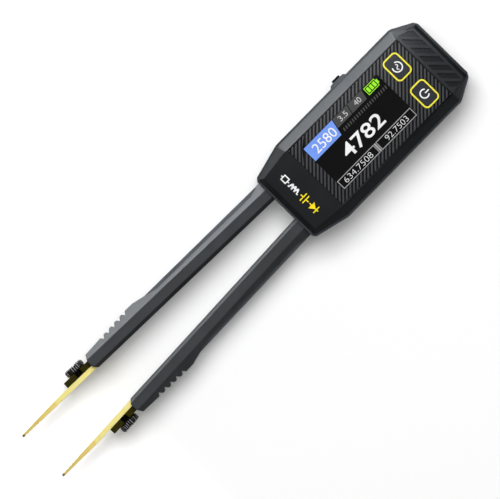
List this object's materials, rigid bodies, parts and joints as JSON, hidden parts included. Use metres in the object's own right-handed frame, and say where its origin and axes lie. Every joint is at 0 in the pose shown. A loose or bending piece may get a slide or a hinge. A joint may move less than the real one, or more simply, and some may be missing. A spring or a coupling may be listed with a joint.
{
  "type": "component tester",
  "caption": "Hand-held component tester: a display head on two sprung tweezer arms with clamped gold-plated blades, a side lever and two front buttons.",
  "frame": {"origin": "middle of the head's flat back face, which rests on the table", "axes": "+X along the tool from the blade tips towards the head's far end, +Y towards the left arm and the side lever, +Z out of the display"},
  "size_m": [0.1389, 0.026, 0.0161],
  "materials": {
    "graphite_plastic": "fine satin moulded plastic",
    "grey_plastic": "fine satin moulded plastic",
    "striped_panel": "satin plate with slanted grooves",
    "display_glass": "polished dark cover glass",
    "button_cap": "satin",
    "yellow_ring": "satin",
    "black_plastic": "satin",
    "battery_foil": "matt foil pouch",
    "circuit_board": "solder mask over glass laminate",
    "bright_steel": "plain steel",
    "root_steel": "machined steel block",
    "lug_laminate": "glass laminate edge, gold-plated faces",
    "gold_plate": "gold plate over brass",
    "black_metal": "black plated, straight knurl",
    "lead_rubber": "soft insulated lead"
  },
  "bodies": {
    "head": {"arm_root_block": "root_steel", "battery": "battery_foil", "board_screws": "bright_steel", "buzzer": "black_plastic", "case_screws": "bright_steel", "converter_chip": "black_plastic", "display_module": "display_glass", "display_window": "display_glass", "front_cover": "graphite_plastic", "main_board": "circuit_board", "mode_button_bezel": "yellow_ring", "mode_button_switch": "black_plastic", "power_button_bezel": "yellow_ring", "power_button_switch": "black_plastic", "processor_chip": "black_plastic", "rear_cover": "grey_plastic", "root_block_screws": "bright_steel", "side_switch": "black_plastic", "striped_panel": "striped_panel", "usb_c_socket": "bright_steel", "left_leaf_spring": "bright_steel", "left_arm_lead": "lead_rubber", "right_leaf_spring": "bright_steel", "right_arm_lead": "lead_rubber"},
    "mode_key": {"mode_button": "button_cap"},
    "power_key": {"power_button": "button_cap"},
    "lever": {"side_lever": "black_plastic"},
    "left_arm": {"left_arm_front_shell": "graphite_plastic", "left_arm_rear_shell": "grey_plastic", "left_probe_board": "lug_laminate", "left_locating_pin": "bright_steel", "left_blade": "gold_plate"},
    "left_clamp_washer": {"left_screw_washer": "black_metal"},
    "left_clamp_screw": {"left_thumb_screw": "black_metal"},
    "right_arm": {"right_arm_front_shell": "graphite_plastic", "right_arm_rear_shell": "grey_plastic", "right_probe_board": "lug_laminate", "right_locating_pin": "bright_steel", "right_blade": "gold_plate"},
    "right_clamp_washer": {"right_screw_washer": "black_metal"},
    "right_clamp_screw": {"right_thumb_screw": "black_metal"}
  },
  "joints": [
    {"name": "left_arm_swing", "type": "hinge", "parent": "head", "child": "left_arm", "pos_m": [-0.02159, 0.00638, 0.0076], "axis": [0, 0, 1], "range_deg": [0, 4.08], "stiffness_Nm_per_rad": 1.5, "deforming": ["left_leaf_spring", "left_arm_lead"]},
    {"name": "right_arm_swing", "type": "hinge", "parent": "head", "child": "right_arm", "pos_m": [-0.02159, -0.00638, 0.0076], "axis": [0, 0, -1], "range_deg": [0, 4.08], "stiffness_Nm_per_rad": 1.5, "deforming": ["right_leaf_spring", "right_arm_lead"]},
    {"name": "mode_button_press", "type": "slide", "parent": "head", "child": "mode_key", "axis": [0, 0, -1], "range_m": [0, 0.0004], "stiffness_N_per_m": 500, "springref_m": -0.0003},
    {"name": "power_button_press", "type": "slide", "parent": "head", "child": "power_key", "axis": [0, 0, -1], "range_m": [0, 0.0004], "stiffness_N_per_m": 500, "springref_m": -0.0003},
    {"name": "side_lever_slide", "type": "slide", "parent": "head", "child": "lever", "axis": [1, 0, 0], "range_m": [-0.0007, 0.0007], "stiffness_N_per_m": 400},
    {"name": "left_clamp_lift", "type": "slide", "parent": "left_arm", "child": "left_clamp_washer", "axis": [0.0349, 0.9994, 0], "range_m": [0, 0.0007]},
    {"name": "left_clamp_turn", "type": "hinge", "parent": "left_clamp_washer", "child": "left_clamp_screw", "pos_m": [-0.09096, 0.00855, 0.0076], "axis": [0.0349, 0.9994, 0], "range_deg": [0, 721]},
    {"name": "right_clamp_lift", "type": "slide", "parent": "right_arm", "child": "right_clamp_washer", "axis": [0.0349, -0.9994, 0], "range_m": [0, 0.0007]},
    {"name": "right_clamp_turn", "type": "hinge", "parent": "right_clamp_washer", "child": "right_clamp_screw", "pos_m": [-0.09096, -0.00855, 0.0076], "axis": [0.0349, -0.9994, 0], "range_deg": [0, 721]}
  ],
  "couplings": [
    {"joint": "left_clamp_turn", "follows": "left_clamp_lift", "rad_per_m": 17952},
    {"joint": "right_clamp_turn", "follows": "right_clamp_lift", "rad_per_m": 17952}
  ]
}
